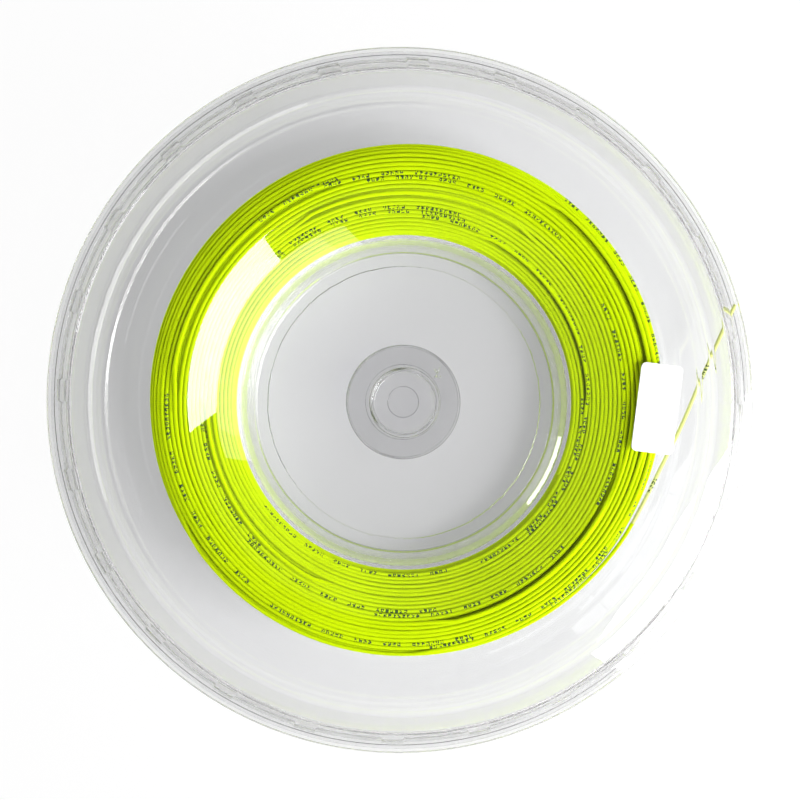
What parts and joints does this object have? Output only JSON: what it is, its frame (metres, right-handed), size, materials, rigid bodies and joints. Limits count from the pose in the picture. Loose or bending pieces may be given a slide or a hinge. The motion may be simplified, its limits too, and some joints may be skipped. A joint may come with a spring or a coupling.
{
  "type": "string reel",
  "caption": "Clear two-part reel of racket string: flanged shells locked at the hub, a full winding, a free end and a blank label.",
  "frame": {"origin": "on the surface the reel lies on, under the middle of its hub", "axes": "+Z along the hub axis, out of the front shell; +X towards the label"},
  "size_m": [0.225, 0.225, 0.033],
  "materials": {
    "clear_plastic": "clear gloss",
    "lime_string": "gloss",
    "white_paper": "matte"
  },
  "bodies": {
    "rear_half": {"rear_shell": "clear_plastic", "string_core": "lime_string", "string_turns": "lime_string", "string_tail": "lime_string"},
    "front_half": {"front_shell": "clear_plastic", "label": "white_paper"}
  },
  "joints": [
    {"name": "front_shell_pull_off", "type": "slide", "parent": "rear_half", "child": "front_half", "axis": [0, 0, 1], "range_m": [0, 0.05]}
  ]
}
